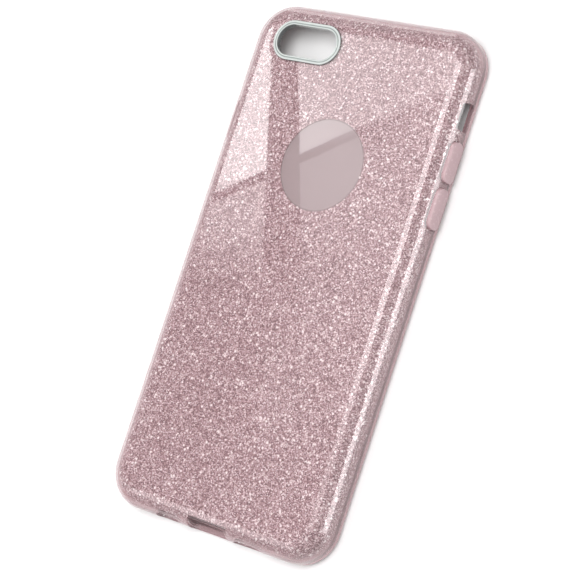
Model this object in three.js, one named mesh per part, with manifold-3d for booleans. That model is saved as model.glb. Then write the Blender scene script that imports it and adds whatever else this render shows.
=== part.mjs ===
// A slip-on case for a 4.7 inch phone, lying face down on its front lip.
//
// Frame, in millimetres: the origin is under the middle of the case on the surface that it lies on,
// +X is the side with the mute slot and the volume buttons, +Y is the camera end, and +Z points out
// of the back. The case is three trays nested in each other round the phone: a soft outer shell, a
// glitter film and a hard inner plate. Every layer is the same rounded slab, set in by its depth
// below the shell's outer surface, so the layers stay parallel on the flats, edges and corners.

import * as THREE from 'three';
import { mergeVertices } from 'three/addons/utils/BufferGeometryUtils.js';
import Module from 'manifold-3d';

const wasm = await Module();
wasm.setup();

// ---------------------------------------------------------------- driving dimensions

// The phone that the case holds.
const phoneWidth = 67.1;
const phoneLength = 138.3;
const phoneThickness = 7.1;
const phoneCornerRadius = 8.95;
const phoneBackEdgeRadius = 3.7;
const phoneFrontEdgeRadius = 1.4;

// The wall, from the outside in.
const shellWall = 0.65;
const filmThickness = 0.15;
const plateThickness = 0.5;
const layerGap = 0.05;
const phoneFit = 0.05;

// The front lip and the ledge where the film and the plate end.
const lipHeight = 0.65;
const lipOverhang = 1.0;
const lipEdgeRadius = 1.5;
const ledgeHeight = 2.4;

// The round window in the film, on the middle line.
const windowRadius = 12.5;
const windowFromTop = 40.6;

// The camera opening and its collar, placed from the phone's top end and its camera side.
const cameraFromTop = 9.25;
const cameraFromSide = 17.15;
const cameraLength = 19.0;
const cameraHeight = 8.6;
const collarWall = 0.75;
const collarRimWidth = 1.25;
const collarRimThickness = 0.5;
const collarProud = 0.25;
const collarGap = 0.1;

// The mute slot in the long side, placed from the phone's top end.
const muteFromTop = 20.45;
const muteLength = 7.4;
const muteHeight = 3.8;
const muteRadius = 1.0;

// The openings in the short side, from the middle outwards.
const chargePortLength = 12.6;
const chargePortHeight = 6.6;
const chargePortRadius = 1.0;
const chargePortRaise = 0.8;
const soundSlotLength = 8.6;
const soundSlotHeight = 5.4;
const soundSlotRadius = 2.3;
const jackSlotLength = 9.6;
const jackSlotHeight = 4.6;
const jackSlotRadius = 2.2;
const soundBridge = 2.6;
const jackBridge = 1.6;

// The buttons: the first volume pad and the power pad are placed from the phone's top end.
const padFromTop = 32.5;
const padSpacing = 1.5;
const padLength = 10.8;
const padHeight = 4.2;
const padRadius = 1.7;
const padProud = 0.6;
const padTravel = 0.4;
const padGap = 0.3;
const padRaise = 0.1;
const stemInset = 0.6;
const webThickness = 0.3;
const webMargin = 0.3;
const webGap = 0.15;

// How far film and plate stop short of an opening, and the gap to the shell's solid wall there.
const openingBorder = 0.4;
const borderGap = 0.1;
const buttonBorder = 0.9;

// Facets: half a corner of the case, a rim's quarter turn, and half a corner of a small opening.
const cornerFacets = 4;
const edgeFacets = 5;
const pillFacets = 2;
const windowFacets = 48;
const cornerSlack = 0.01;

// ---------------------------------------------------------------- sizes that follow from them

const filmDepth = shellWall + layerGap;
const plateDepth = filmDepth + filmThickness + layerGap;
const wallDepth = plateDepth + plateThickness;
const pocketDepth = wallDepth;
const caseWidth = phoneWidth + 2 * (phoneFit + wallDepth);
const caseLength = phoneLength + 2 * (phoneFit + wallDepth);
const backHeight = lipHeight + phoneThickness + phoneFit + wallDepth;
const cornerRadius = phoneCornerRadius + phoneFit + wallDepth;
const backEdgeRadius = phoneBackEdgeRadius + phoneFit + wallDepth;
const mouthDepth = wallDepth + lipOverhang;
const layerFoot = ledgeHeight + layerGap;
const webBackDepth = pocketDepth - layerGap;
const webFrontDepth = webBackDepth - webThickness;
const recessDepth = webFrontDepth - webGap;
const padBackDepth = recessDepth - padTravel;
const openingReach = 0.58 * backEdgeRadius;
const clear = 5;

const phoneTop = phoneLength / 2;
const sideMiddle = lipHeight + phoneThickness / 2;
const windowY = phoneTop - windowFromTop;
const cameraX = cameraFromSide - phoneWidth / 2;
const cameraY = phoneTop - cameraFromTop;
const padUp = sideMiddle + padRaise;
const volumeUpY = phoneTop - padFromTop;
const volumeDownY = volumeUpY - padLength - padSpacing;
const powerY = volumeUpY;

// Each opening: its middle along the side and above the floor, its length, height and corner radius.
const muteSlot = {
  along: phoneTop - muteFromTop,
  up: padUp,
  length: muteLength,
  height: muteHeight,
  radius: muteRadius,
};
const chargePort = {
  along: 0,
  up: sideMiddle + chargePortRaise,
  length: chargePortLength,
  height: chargePortHeight,
  radius: chargePortRadius,
};
const soundSlot = {
  along: -(chargePortLength / 2 + soundBridge + soundSlotLength / 2),
  up: sideMiddle + padRaise,
  length: soundSlotLength,
  height: soundSlotHeight,
  radius: soundSlotRadius,
};
const jackSlot = {
  along: chargePortLength / 2 + jackBridge + jackSlotLength / 2,
  up: sideMiddle,
  length: jackSlotLength,
  height: jackSlotHeight,
  radius: jackSlotRadius,
};

// ---------------------------------------------------------------- solids

/** A three.js geometry as a solid that can be joined and cut. */
function solid(geometry) {
  geometry.deleteAttribute('normal');
  geometry.deleteAttribute('uv');
  const merged = mergeVertices(geometry, 1e-5);
  const vertProperties = new Float32Array(merged.attributes.position.array);
  const triVerts = new Uint32Array(merged.index.array);
  return new wasm.Manifold(new wasm.Mesh({ numProp: 3, vertProperties, triVerts }));
}

/** A rounded rectangle about the origin. */
function roundedRectangle(length, height, radius) {
  const x = length / 2 - radius;
  const y = height / 2 - radius;
  const shape = new THREE.Shape();
  shape.absarc(x, y, radius, 0, Math.PI / 2);
  shape.absarc(-x, y, radius, Math.PI / 2, Math.PI);
  shape.absarc(-x, -y, radius, Math.PI, 1.5 * Math.PI);
  shape.absarc(x, -y, radius, 1.5 * Math.PI, 2 * Math.PI);
  return shape;
}

/** The case's outline set in by a depth, standing from one height to another, with both rims rounded. */
function roundedBlock(depth, bottom, top, rimRadius) {
  const outline = roundedRectangle(caseWidth - 2 * depth, caseLength - 2 * depth, cornerRadius - depth);
  const rounded = rimRadius > 0;
  const geometry = new THREE.ExtrudeGeometry(outline, {
    depth: top - bottom - 2 * rimRadius,
    bevelEnabled: rounded,
    bevelThickness: rimRadius,
    bevelSize: rimRadius,
    bevelOffset: -rimRadius,
    bevelSegments: rounded ? edgeFacets : 0,
    curveSegments: cornerFacets,
  });
  geometry.translate(0, 0, bottom + rimRadius);
  return solid(geometry);
}

/** The slab that lies a depth below the case's outer surface, from a foot height upwards. */
function slab(depth, foot, footRadius) {
  const edgeRadius = backEdgeRadius - depth;
  const crown = roundedBlock(depth, foot - edgeRadius - clear, backHeight - depth, edgeRadius);
  const base = roundedBlock(depth, foot, backHeight + clear, footRadius);
  return crown.intersect(base);
}

/** A rounded-rectangle bar standing along Z. */
function uprightBar(length, height, radius, x, y, bottom, top) {
  const options = { depth: top - bottom, bevelEnabled: false, curveSegments: 2 * pillFacets };
  const geometry = new THREE.ExtrudeGeometry(roundedRectangle(length, height, radius), options);
  geometry.translate(x, y, bottom);
  return solid(geometry);
}

/** A rounded-rectangle bar through a long side: its length lies along Y and it runs along X. */
function longSideBar(opening, grow, side, inner, outer) {
  const length = opening.length + 2 * grow;
  const height = opening.height + 2 * grow;
  const radius = Math.min(opening.radius + grow, height / 2 - cornerSlack);
  const options = { depth: outer - inner, bevelEnabled: false, curveSegments: pillFacets };
  const geometry = new THREE.ExtrudeGeometry(roundedRectangle(length, height, radius), options);
  geometry.rotateX(Math.PI / 2);
  geometry.rotateZ(Math.PI / 2);
  geometry.translate(side > 0 ? inner : -outer, opening.along, opening.up);
  return solid(geometry);
}

/** A rounded-rectangle bar through the end away from the camera: its length lies along X. */
function endBar(opening, grow, inner, outer) {
  const length = opening.length + 2 * grow;
  const height = opening.height + 2 * grow;
  const radius = Math.min(opening.radius + grow, height / 2 - cornerSlack);
  const options = { depth: outer - inner, bevelEnabled: false, curveSegments: pillFacets };
  const geometry = new THREE.ExtrudeGeometry(roundedRectangle(length, height, radius), options);
  geometry.rotateX(Math.PI / 2);
  geometry.translate(opening.along, -inner, opening.up);
  return solid(geometry);
}

// ---------------------------------------------------------------- what the openings share

const sideInner = caseWidth / 2 - openingReach;
const sideOuter = caseWidth / 2 + clear;
const endInner = caseLength / 2 - openingReach;
const endOuter = caseLength / 2 + clear;
const endOpenings = [chargePort, soundSlot, jackSlot];

const pad = (along) => ({ along, up: padUp, length: padLength, height: padHeight, radius: padRadius });
const buttons = [
  { name: 'volume_up_button', side: 1, pad: pad(volumeUpY) },
  { name: 'volume_down_button', side: 1, pad: pad(volumeDownY) },
  { name: 'power_button', side: -1, pad: pad(powerY) },
];

const volumeSpan = {
  along: (volumeUpY + volumeDownY) / 2,
  up: padUp,
  length: volumeUpY - volumeDownY + padLength,
  height: padHeight,
  radius: padRadius,
};
const webs = [
  { name: 'volume_web', side: 1, span: volumeSpan, pads: [pad(volumeUpY), pad(volumeDownY)] },
  { name: 'power_web', side: -1, span: pad(powerY), pads: [pad(powerY)] },
];

const muteEnd = muteSlot.along + muteSlot.length / 2 + openingBorder;
const volumeEnd = volumeDownY - padLength / 2 - buttonBorder;
const volumeBorder = {
  along: (muteEnd + volumeEnd) / 2,
  up: padUp,
  length: muteEnd - volumeEnd - 2 * buttonBorder,
  height: padHeight,
  radius: padRadius,
};

/** What film and plate leave out beside the openings, shrunk by a gap for the shell's solid wall. */
function borders(gap) {
  const atVolume = longSideBar(volumeBorder, buttonBorder - gap, 1, sideInner + gap, sideOuter);
  const atPower = longSideBar(pad(powerY), buttonBorder - gap, -1, sideInner + gap, sideOuter);
  let all = atVolume.add(atPower);
  for (const opening of endOpenings) {
    all = all.add(endBar(opening, openingBorder - gap, endInner - openingBorder + gap, endOuter));
  }
  return all;
}

/** A square notch from under the ledge to the middle of a border along a long side. */
function footNotch(border, side) {
  const length = border.length + 2 * buttonBorder;
  const notch = { along: border.along, up: padUp / 2, length, height: padUp, radius: layerGap };
  return longSideBar(notch, 0, side, sideInner, sideOuter);
}

/** All that film and plate leave out beside the openings, down to their free edge. */
function notches() {
  return borders(0).add(footNotch(volumeBorder, 1)).add(footNotch(pad(powerY), -1));
}

/** The camera opening's outline as a bar, grown by a margin. */
function cameraBar(grow, bottom, top) {
  const height = cameraHeight + 2 * grow;
  return uprightBar(cameraLength + 2 * grow, height, height / 2 - cornerSlack, cameraX, cameraY, bottom, top);
}

// ---------------------------------------------------------------- the pieces

/** The soft shell: back, side walls, front lip, ledge, openings and the recesses behind the webs. */
function makeOuterShell() {
  const insertSpace = slab(shellWall, ledgeHeight, 0).subtract(borders(borderGap));
  const pocket = slab(pocketDepth, lipHeight, phoneFrontEdgeRadius);
  const mouth = roundedBlock(mouthDepth, -clear, lipHeight + phoneFrontEdgeRadius, 0);
  let shell = slab(0, 0, lipEdgeRadius).subtract(insertSpace).subtract(pocket).subtract(mouth);
  shell = shell.subtract(cameraBar(collarWall + collarGap, 0, backHeight + clear));
  const rimSeat = backHeight - (collarRimThickness - collarProud) - collarGap;
  shell = shell.subtract(cameraBar(collarRimWidth + collarGap, rimSeat, backHeight + clear));
  shell = shell.subtract(longSideBar(muteSlot, 0, 1, sideInner, sideOuter));
  for (const opening of endOpenings) {
    shell = shell.subtract(endBar(opening, 0, endInner, endOuter));
  }
  for (const { side, pad: outline } of buttons) {
    shell = shell.subtract(longSideBar(outline, padGap, side, sideInner, sideOuter));
  }
  for (const { side, span } of webs) {
    const recess = longSideBar(span, webMargin + webGap, side, sideInner, sideOuter);
    shell = shell.subtract(slab(recessDepth, 0, 0).intersect(recess));
  }
  return shell;
}

/** One of the two thin trays that lie inside the shell. */
function makeTray(depth, thickness) {
  const body = slab(depth, layerFoot, 0).subtract(slab(depth + thickness, layerFoot - clear, 0));
  return body.subtract(notches()).subtract(cameraBar(collarWall + collarGap, 0, backHeight + clear));
}

/** The glitter film, with its round window. */
function makeGlitterSheet() {
  const disc = new THREE.CylinderGeometry(windowRadius, windowRadius, 2 * clear, windowFacets);
  disc.rotateX(Math.PI / 2);
  disc.translate(0, windowY, backHeight);
  return makeTray(filmDepth, filmThickness).subtract(solid(disc));
}

/** The hard clear plate that the phone lies against. */
function makeInnerPlate() {
  return makeTray(plateDepth, plateThickness);
}

/** The camera collar: a sleeve through all the layers, with a rim seated in the shell's back. */
function makeCameraRing() {
  const top = backHeight + collarProud;
  const sleeve = cameraBar(collarWall, backHeight - wallDepth, top);
  const rim = cameraBar(collarRimWidth, top - collarRimThickness, top);
  return sleeve.add(rim).subtract(cameraBar(0, 0, backHeight + clear));
}

/** A press pad: a proud head in the shell's opening and a narrower stem through the web. */
function makeButton({ side, pad: outline }) {
  const sector = longSideBar(outline, 0, side, sideInner, sideOuter);
  const head = slab(-padProud, lipHeight, 0).subtract(slab(padBackDepth, 0, 0)).intersect(sector);
  const stemStart = caseWidth / 2 - webBackDepth;
  const stemEnd = caseWidth / 2 - padBackDepth + padTravel / 2;
  return head.add(longSideBar(outline, -stemInset, side, stemStart, stemEnd));
}

/** The thin wall that carries one or two pads, with a hole for each stem. */
function makeWeb({ side, span, pads }) {
  const sector = longSideBar(span, webMargin, side, sideInner, sideOuter);
  let web = slab(webFrontDepth, 0, 0).subtract(slab(webBackDepth, -clear, 0)).intersect(sector);
  for (const outline of pads) {
    web = web.subtract(longSideBar(outline, webGap - stemInset, side, sideInner, sideOuter));
  }
  return web;
}

// ---------------------------------------------------------------- the assembly

const finishes = {
  clearShell: { color: 0xdcb4bc, roughness: 0.08, metalness: 0 },
  glitter: { color: 0xbe969e, roughness: 0.35, metalness: 0.5 },
  clearPlate: { color: 0xd9d2d4, roughness: 0.15, metalness: 0 },
  collar: { color: 0xb9c4be, roughness: 0.12, metalness: 0 },
  pad: { color: 0xd3a6ae, roughness: 0.3, metalness: 0 },
};

const group = new THREE.Group();

/** Adds a solid to the case as a named mesh. */
function place(name, body, finish) {
  const { vertProperties, triVerts } = body.getMesh();
  const geometry = new THREE.BufferGeometry();
  geometry.setAttribute('position', new THREE.BufferAttribute(vertProperties, 3));
  geometry.setIndex(new THREE.BufferAttribute(triVerts, 1));
  geometry.computeVertexNormals();
  const mesh = new THREE.Mesh(geometry, new THREE.MeshStandardMaterial(finishes[finish]));
  mesh.name = name;
  group.add(mesh);
}

place('outer_shell', makeOuterShell(), 'clearShell');
place('glitter_sheet', makeGlitterSheet(), 'glitter');
place('inner_plate', makeInnerPlate(), 'clearPlate');
place('camera_ring', makeCameraRing(), 'collar');
for (const button of buttons) {
  place(button.name, makeButton(button), 'pad');
}
for (const web of webs) {
  place(web.name, makeWeb(web), 'pad');
}

export default group;
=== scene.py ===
"""A slip-on phone case lying face down on its lip.

A clear soft shell holds a rose glitter film with a round window and a hard clear plate, with a
collar round the camera opening and three press pads. All lengths are in metres.
"""

import bisect
import logging
import math
import random
from collections.abc import Callable, Sequence
from dataclasses import dataclass, replace
from enum import Enum
from typing import ClassVar

import bmesh
import bpy
from mathutils import Matrix, Quaternion, Vector


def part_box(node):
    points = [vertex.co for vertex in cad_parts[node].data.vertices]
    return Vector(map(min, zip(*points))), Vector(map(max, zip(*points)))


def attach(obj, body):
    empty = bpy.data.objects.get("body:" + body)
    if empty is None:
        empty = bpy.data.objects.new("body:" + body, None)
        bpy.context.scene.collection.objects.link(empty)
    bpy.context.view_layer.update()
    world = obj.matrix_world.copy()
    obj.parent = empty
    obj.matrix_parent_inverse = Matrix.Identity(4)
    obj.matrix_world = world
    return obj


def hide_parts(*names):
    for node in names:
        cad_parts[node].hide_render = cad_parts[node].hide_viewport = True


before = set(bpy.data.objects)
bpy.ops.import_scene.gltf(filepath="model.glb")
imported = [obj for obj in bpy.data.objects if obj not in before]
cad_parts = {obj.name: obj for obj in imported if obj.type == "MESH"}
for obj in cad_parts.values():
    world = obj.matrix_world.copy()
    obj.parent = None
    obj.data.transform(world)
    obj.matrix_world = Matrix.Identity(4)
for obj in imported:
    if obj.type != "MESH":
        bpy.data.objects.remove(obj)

MM = 0.001
CLEAR = 5 * MM
TOUCH = 0.001 * MM
HAIR = 0.01 * MM
log = logging.getLogger("phone_case")

Span = tuple[float, float]
Triple = tuple[float, float, float]
Feed = "Signal | float | Sequence[float]"


# ---------------------------------------------------------------- sizes


class Side(Enum):
    """A long side of the case, by the sign of its X."""

    VOLUME = 1
    POWER = -1


class Body(Enum):
    """The bodies that pieces ride on."""

    CASE = "case_body"
    VOLUME_UP = "volume_up"
    VOLUME_DOWN = "volume_down"
    POWER = "power"


class Slot(Enum):
    """Names for the pieces' material slots; fit takes one but does not use it."""

    SHELL = "clear_shell"
    FILM = "glitter_film"
    PLATE = "clear_plate"
    COLLAR = "collar"
    PAD = "pad"


@dataclass(frozen=True)
class Opening:
    """A rounded-rectangle outline in a side wall."""

    along: float
    up: float
    length: float
    height: float
    radius: float

    def grown(self, margin: float) -> "Opening":
        """The same outline with a margin all round, or shrunk by a negative one."""
        height = self.height + 2 * margin
        radius = min(self.radius + margin, height / 2 - HAIR)
        return Opening(self.along, self.up, self.length + 2 * margin, height, radius)


@dataclass(frozen=True)
class CaseSizes:
    """The sizes that the pieces share, read from the frame where it has them."""

    low: Vector
    high: Vector
    film_depth: float
    plate_depth: float
    layer_foot: float
    corner_radius: float = 10.35 * MM
    edge_radius: float = 5.15 * MM
    shell_wall: float = 0.65 * MM
    film_thickness: float = 0.15 * MM
    wall_depth: float = 1.40 * MM
    mouth_depth: float = 2.40 * MM
    lip_height: float = 0.65 * MM
    lip_edge_radius: float = 1.5 * MM
    pocket_foot_radius: float = 1.4 * MM
    ledge_height: float = 2.4 * MM
    ledge_notch_radius: float = 0.05 * MM
    window_radius: float = 12.5 * MM
    window_y: float = 28.55 * MM
    window_steps: int = 160
    boss_depth: float = 0.68 * MM
    boss_gap: float = 0.16 * MM
    boss_root: float = 0.2 * MM
    boss_edge_radius: float = 0.13 * MM
    collar_gap: float = 0.1 * MM
    opening_reach: float = 0.58
    opening_border: float = 0.4 * MM
    border_gap: float = 0.1 * MM
    film_overlap: float = 0.42 * MM
    button_border: float = 0.6 * MM
    pad_gap: float = 0.14 * MM
    pad_proud: float = 0.6 * MM
    power_proud: float = 0.2 * MM
    pad_back_depth: float = 0.5 * MM
    pad_travel: float = 0.4 * MM
    stem_inset: float = 0.6 * MM
    recess_depth: float = 0.9 * MM
    web_front_depth: float = 1.05 * MM
    web_back_depth: float = 1.35 * MM
    web_margin: float = 0.25 * MM
    web_gap: float = 0.15 * MM

    @classmethod
    def from_frame(cls) -> "CaseSizes":
        """The sizes with the outer box and the layers' places taken from the CAD nodes."""
        low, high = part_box("outer_shell")
        film_low, film_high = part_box("glitter_sheet")
        _, plate_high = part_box("inner_plate")
        return cls(low, high, high.z - film_high.z, high.z - plate_high.z, film_low.z)

    @property
    def side_inner(self) -> float:
        """How far out a side opening's bar starts."""
        return self.high.x - self.opening_reach * self.edge_radius

    @property
    def end_inner(self) -> float:
        """How far out an end opening's bar starts."""
        return self.high.y - self.opening_reach * self.edge_radius


CHARGE_PORT = Opening(0.0, 5.0 * MM, 12.6 * MM, 6.6 * MM, 1.0 * MM)
SOUND_SLOT = Opening(-13.2 * MM, 4.3 * MM, 8.6 * MM, 5.4 * MM, 2.3 * MM)
JACK_SLOT = Opening(12.7 * MM, 4.2 * MM, 9.6 * MM, 4.6 * MM, 2.2 * MM)
END_OPENINGS = (CHARGE_PORT, SOUND_SLOT, JACK_SLOT)
MUTE_SLOT = Opening(48.7 * MM, 4.3 * MM, 7.4 * MM, 3.8 * MM, 1.0 * MM)
PAD_RADIUS = 1.7 * MM
SCORE_LINES = tuple(y * MM for y in (-56, -44, -32, -20, -8, 4, 13.5, 55))


def pad_outline(node: str) -> Opening:
    """The outline of a press pad.

    Args:
        node: The pad's CAD node.

    Returns:
        The outline that fills the node's box.
    """
    low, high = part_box(node)
    middle, size = (low + high) / 2, high - low
    return Opening(middle.y, middle.z, size.y, size.z, PAD_RADIUS)


def spanning(first: Opening, second: Opening) -> Opening:
    """One outline over two in a row, with the first one's height and radius."""
    top = max(first.along + first.length / 2, second.along + second.length / 2)
    bottom = min(first.along - first.length / 2, second.along - second.length / 2)
    return replace(first, along=(top + bottom) / 2, length=top - bottom)


# ---------------------------------------------------------------- the bench


class Workpiece:
    """A mesh on the bench, shaped with the operators of edit mode.

    Angles are in degrees. A sliver is the longest edge that tidying takes out.
    """

    SLIVER: ClassVar[float] = 0.012 * MM
    FLAT_ANGLE: ClassVar[float] = 0.3
    SHARP_ANGLE: ClassVar[float] = 40
    SMOOTH_ANGLE: ClassVar[float] = 38

    def __init__(self, body: bpy.types.Object) -> None:
        """Takes an object as it stands."""
        self.body = body

    @staticmethod
    def clear_selection() -> None:
        """Deselects every object, so that an operator acts on one piece only."""
        for body in bpy.context.selected_objects:
            body.select_set(False)

    @classmethod
    def taken(cls, name: str) -> "Workpiece":
        """The primitive that was just added, with its place put into its mesh.

        Args:
            name: The name of the piece.

        Returns:
            The piece, at the origin, unturned and unscaled.
        """
        body = bpy.context.object
        body.name = name
        body.data.name = name
        bpy.ops.object.transform_apply(location=True, rotation=True, scale=True)
        return cls(body)

    @classmethod
    def block(cls, name: str, low: Sequence[float], high: Sequence[float]) -> "Workpiece":
        """A block between two corners."""
        cls.clear_selection()
        middle = [(a + b) / 2 for a, b in zip(low, high)]
        size = [b - a for a, b in zip(low, high)]
        bpy.ops.mesh.primitive_cube_add(size=1, location=middle, scale=size)
        return cls.taken(name)

    @classmethod
    def drum(
        cls, name: str, centre: Sequence[float], radius: float, depth: float, steps: int
    ) -> "Workpiece":
        """A drum standing along Z round its centre, turned by half a step.

        Args:
            name: Its name.
            centre: Its middle.
            radius: Its radius.
            depth: Its height.
            steps: The number of facets round it.

        Returns:
            The drum.
        """
        cls.clear_selection()
        bpy.ops.mesh.primitive_cylinder_add(
            vertices=steps,
            radius=radius,
            depth=depth,
            location=tuple(centre),
            rotation=(0, 0, math.pi / steps),
        )
        return cls.taken(name)

    def hold(self) -> None:
        """Makes this the one selected and active object."""
        self.clear_selection()
        self.body.select_set(True)
        bpy.context.view_layer.objects.active = self.body

    def open(self, mode: str) -> bmesh.types.BMesh:
        """Enters edit mode with nothing selected.

        Args:
            mode: VERT, EDGE or FACE, what is about to be selected.

        Returns:
            The mesh under edit.
        """
        self.hold()
        bpy.ops.object.mode_set(mode="EDIT")
        bpy.ops.mesh.select_mode(type=mode)
        bpy.ops.mesh.select_all(action="DESELECT")
        return bmesh.from_edit_mesh(self.body.data)

    def close(self) -> None:
        """Leaves edit mode."""
        bpy.ops.object.mode_set(mode="OBJECT")

    def pick(self, mesh: bmesh.types.BMesh, parts: Sequence) -> None:
        """Selects parts of the mesh under edit."""
        for part in parts:
            part.select_set(True)
        mesh.select_flush_mode()
        bmesh.update_edit_mesh(self.body.data)

    def pick_edges(self, test: Callable[[Vector, Vector], bool]) -> None:
        """Enters edit mode with the edges selected whose two ends pass a test."""
        mesh = self.open("EDGE")
        self.pick(mesh, [e for e in mesh.edges if test(e.verts[0].co, e.verts[1].co)])

    def pick_points(self, test: Callable[[Vector], bool]) -> None:
        """Enters edit mode with the points selected that pass a test."""
        mesh = self.open("VERT")
        self.pick(mesh, [v for v in mesh.verts if test(v.co)])

    @staticmethod
    def pick_all() -> None:
        """Selects all of the mesh under edit."""
        bpy.ops.mesh.select_all(action="SELECT")

    @staticmethod
    def draw_out(step: Triple) -> None:
        """Extrudes what is selected and moves it by a step."""
        bpy.ops.mesh.extrude_region_move(TRANSFORM_OT_translate={"value": step})

    def face_outwards(self) -> None:
        """Turns every face of a closed mesh outwards."""
        self.open("VERT")
        self.pick_all()
        bpy.ops.mesh.normals_make_consistent(inside=False)
        self.close()

    def round_edges(
        self, test: Callable[[Vector, Vector], bool], radius: float, steps: int
    ) -> "Workpiece":
        """Rounds the edges whose two ends pass a test.

        Args:
            test: Takes an edge's two ends and says whether it is one of them.
            radius: The radius of the rounding.
            steps: The number of facets across it.

        Returns:
            The piece itself.
        """
        self.pick_edges(test)
        bpy.ops.mesh.bevel(offset=radius, segments=steps, affect="EDGES", clamp_overlap=False)
        self.close()
        return self

    def stretch(self, middle: float, length: float) -> None:
        """Draws the piece out along X.

        Args:
            middle: The X that splits it.
            length: How far the part beyond is moved.
        """
        self.pick_points(lambda point: point.x > middle)
        bpy.ops.transform.translate(value=(length, 0, 0))
        self.close()

    def apply(self, kind: str, **settings: object) -> None:
        """Adds a modifier, sets it and applies it.

        Args:
            kind: The modifier's type.
            settings: Its settings, by name.
        """
        self.hold()
        modifier = self.body.modifiers.new("step", kind)
        for name, value in settings.items():
            setattr(modifier, name, value)
        bpy.ops.object.modifier_apply(modifier=modifier.name)

    def combine(self, tool: "Workpiece", operation: str) -> "Workpiece":
        """Cuts, joins or intersects the piece with a tool, which is used up."""
        self.apply("BOOLEAN", operation=operation, object=tool.body, solver="MANIFOLD")
        mesh = tool.body.data
        bpy.data.objects.remove(tool.body)
        bpy.data.meshes.remove(mesh)
        return self

    def cut(self, *tools: "Workpiece") -> "Workpiece":
        """Takes tools away from the piece, one after the other."""
        for tool in tools:
            self.combine(tool, "DIFFERENCE")
        return self

    def join(self, tool: "Workpiece") -> "Workpiece":
        """Adds a tool to the piece."""
        return self.combine(tool, "UNION")

    def keep(self, tool: "Workpiece") -> "Workpiece":
        """Keeps only what lies inside a tool."""
        return self.combine(tool, "INTERSECT")

    def tidy(self) -> "Workpiece":
        """Merges doubles and slivers and joins coplanar facets, leaving whole flats."""
        self.open("VERT")
        self.pick_all()
        bpy.ops.mesh.remove_doubles(threshold=self.SLIVER)
        self.pick_all()
        bpy.ops.mesh.dissolve_limited(angle_limit=math.radians(self.FLAT_ANGLE))
        self.pick_all()
        bpy.ops.mesh.dissolve_degenerate(threshold=self.SLIVER)
        self.close()
        return self

    def score(self, places: Sequence[float]) -> "Workpiece":
        """Splits the faces across at several Y, so that none is long and thin."""
        for y in places:
            self.open("VERT")
            self.pick_all()
            bpy.ops.mesh.bisect(plane_co=(0, y, 0), plane_no=(0, 1, 0))
            self.close()
        return self

    def soften(self, radius: float, steps: int = 2) -> "Workpiece":
        """Rounds every sharp edge a little and smooths the shading, flats staying flat.

        Args:
            radius: The radius of the rounding.
            steps: The number of facets across it.

        Returns:
            The piece itself.
        """
        if radius > 0:
            self.apply(
                "BEVEL",
                width=radius,
                segments=steps,
                limit_method="ANGLE",
                angle_limit=math.radians(self.SHARP_ANGLE),
                use_clamp_overlap=False,
                miter_outer="MITER_ARC",
            )
        self.hold()
        bpy.ops.object.shade_smooth_by_angle(angle=math.radians(self.SMOOTH_ANGLE))
        self.apply("WEIGHTED_NORMAL", keep_sharp=True, mode="FACE_AREA")
        return self


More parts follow.
